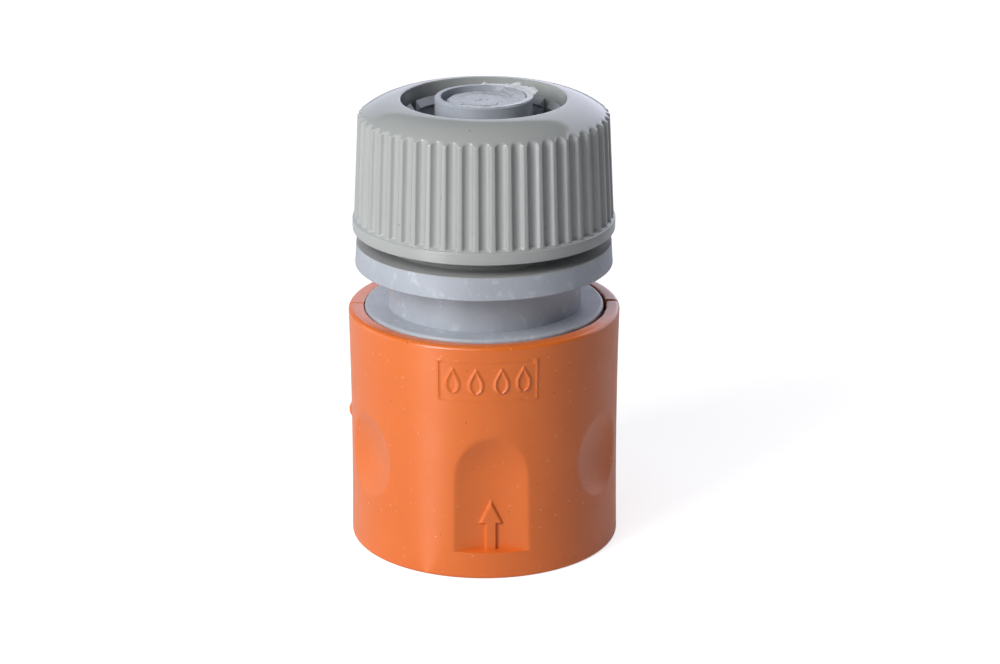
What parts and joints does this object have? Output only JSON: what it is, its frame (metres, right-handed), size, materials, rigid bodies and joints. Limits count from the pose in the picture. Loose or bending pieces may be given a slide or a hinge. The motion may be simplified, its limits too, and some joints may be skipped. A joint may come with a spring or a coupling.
{
  "type": "garden hose quick connector",
  "caption": "Click-fit garden hose connector with a water-stop valve: a spring-loaded release sleeve around the spigot socket, a collet hose tail and a fluted clamping nut.",
  "frame": {"origin": "centre of the socket mouth, on the plane that the connector stands on", "axes": "+Z along the axis from the socket mouth to the hose tail, -Y towards the front thumb recess"},
  "size_m": [0.035, 0.035, 0.0587],
  "materials": {
    "grey_plastic": "satin gloss, pale warm grey, lightly scuffed",
    "orange_plastic": "satin gloss orange",
    "valve_plastic": "satin gloss, pale grey",
    "jaw_plastic": "matte off-white",
    "seal_rubber": "greased black rubber",
    "spring_steel": "bright drawn wire"
  },
  "bodies": {
    "body": {"tail_body": "grey_plastic", "socket_core": "grey_plastic", "core_seal": "seal_rubber", "sleeve_spring": "spring_steel", "valve_spring": "spring_steel"},
    "sleeve": {"release_sleeve": "orange_plastic"},
    "jaw_1": {"lock_jaw_1": "jaw_plastic"},
    "jaw_2": {"lock_jaw_2": "jaw_plastic"},
    "jaw_3": {"lock_jaw_3": "jaw_plastic"},
    "jaw_4": {"lock_jaw_4": "jaw_plastic"},
    "valve": {"valve_stem": "valve_plastic", "valve_seal": "seal_rubber", "valve_foot": "valve_plastic"},
    "nut": {"hose_nut": "grey_plastic"}
  },
  "joints": [
    {"name": "sleeve_slide", "type": "slide", "parent": "body", "child": "sleeve", "axis": [0, 0, 1], "range_m": [0, 0.005], "stiffness_N_per_m": 800, "springref_m": -0.002, "deforming": ["sleeve_spring"]},
    {"name": "jaw_1_swing", "type": "hinge", "parent": "body", "child": "jaw_1", "pos_m": [0.00658, 0.00658, 0.0165], "axis": [0.7071, -0.7071, 0], "range_deg": [0, 7]},
    {"name": "jaw_2_swing", "type": "hinge", "parent": "body", "child": "jaw_2", "pos_m": [-0.00658, 0.00658, 0.0165], "axis": [0.7071, 0.7071, 0], "range_deg": [0, 7]},
    {"name": "jaw_3_swing", "type": "hinge", "parent": "body", "child": "jaw_3", "pos_m": [-0.00658, -0.00658, 0.0165], "axis": [-0.7071, 0.7071, 0], "range_deg": [0, 7]},
    {"name": "jaw_4_swing", "type": "hinge", "parent": "body", "child": "jaw_4", "pos_m": [0.00658, -0.00658, 0.0165], "axis": [-0.7071, -0.7071, 0], "range_deg": [0, 7]},
    {"name": "valve_slide", "type": "slide", "parent": "body", "child": "valve", "axis": [0, 0, 1], "range_m": [0, 0.0048], "stiffness_N_per_m": 500, "springref_m": -0.002, "deforming": ["valve_spring"]},
    {"name": "nut_travel", "type": "slide", "parent": "body", "child": "nut", "axis": [0, 0, 1], "range_m": [-0.0016, 0.016]}
  ],
  "couplings": [
    {"joint": "jaw_1_swing", "follows": "sleeve_slide", "rad_per_m": 24.435},
    {"joint": "jaw_2_swing", "follows": "sleeve_slide", "rad_per_m": 24.435},
    {"joint": "jaw_3_swing", "follows": "sleeve_slide", "rad_per_m": 24.435},
    {"joint": "jaw_4_swing", "follows": "sleeve_slide", "rad_per_m": 24.435}
  ]
}
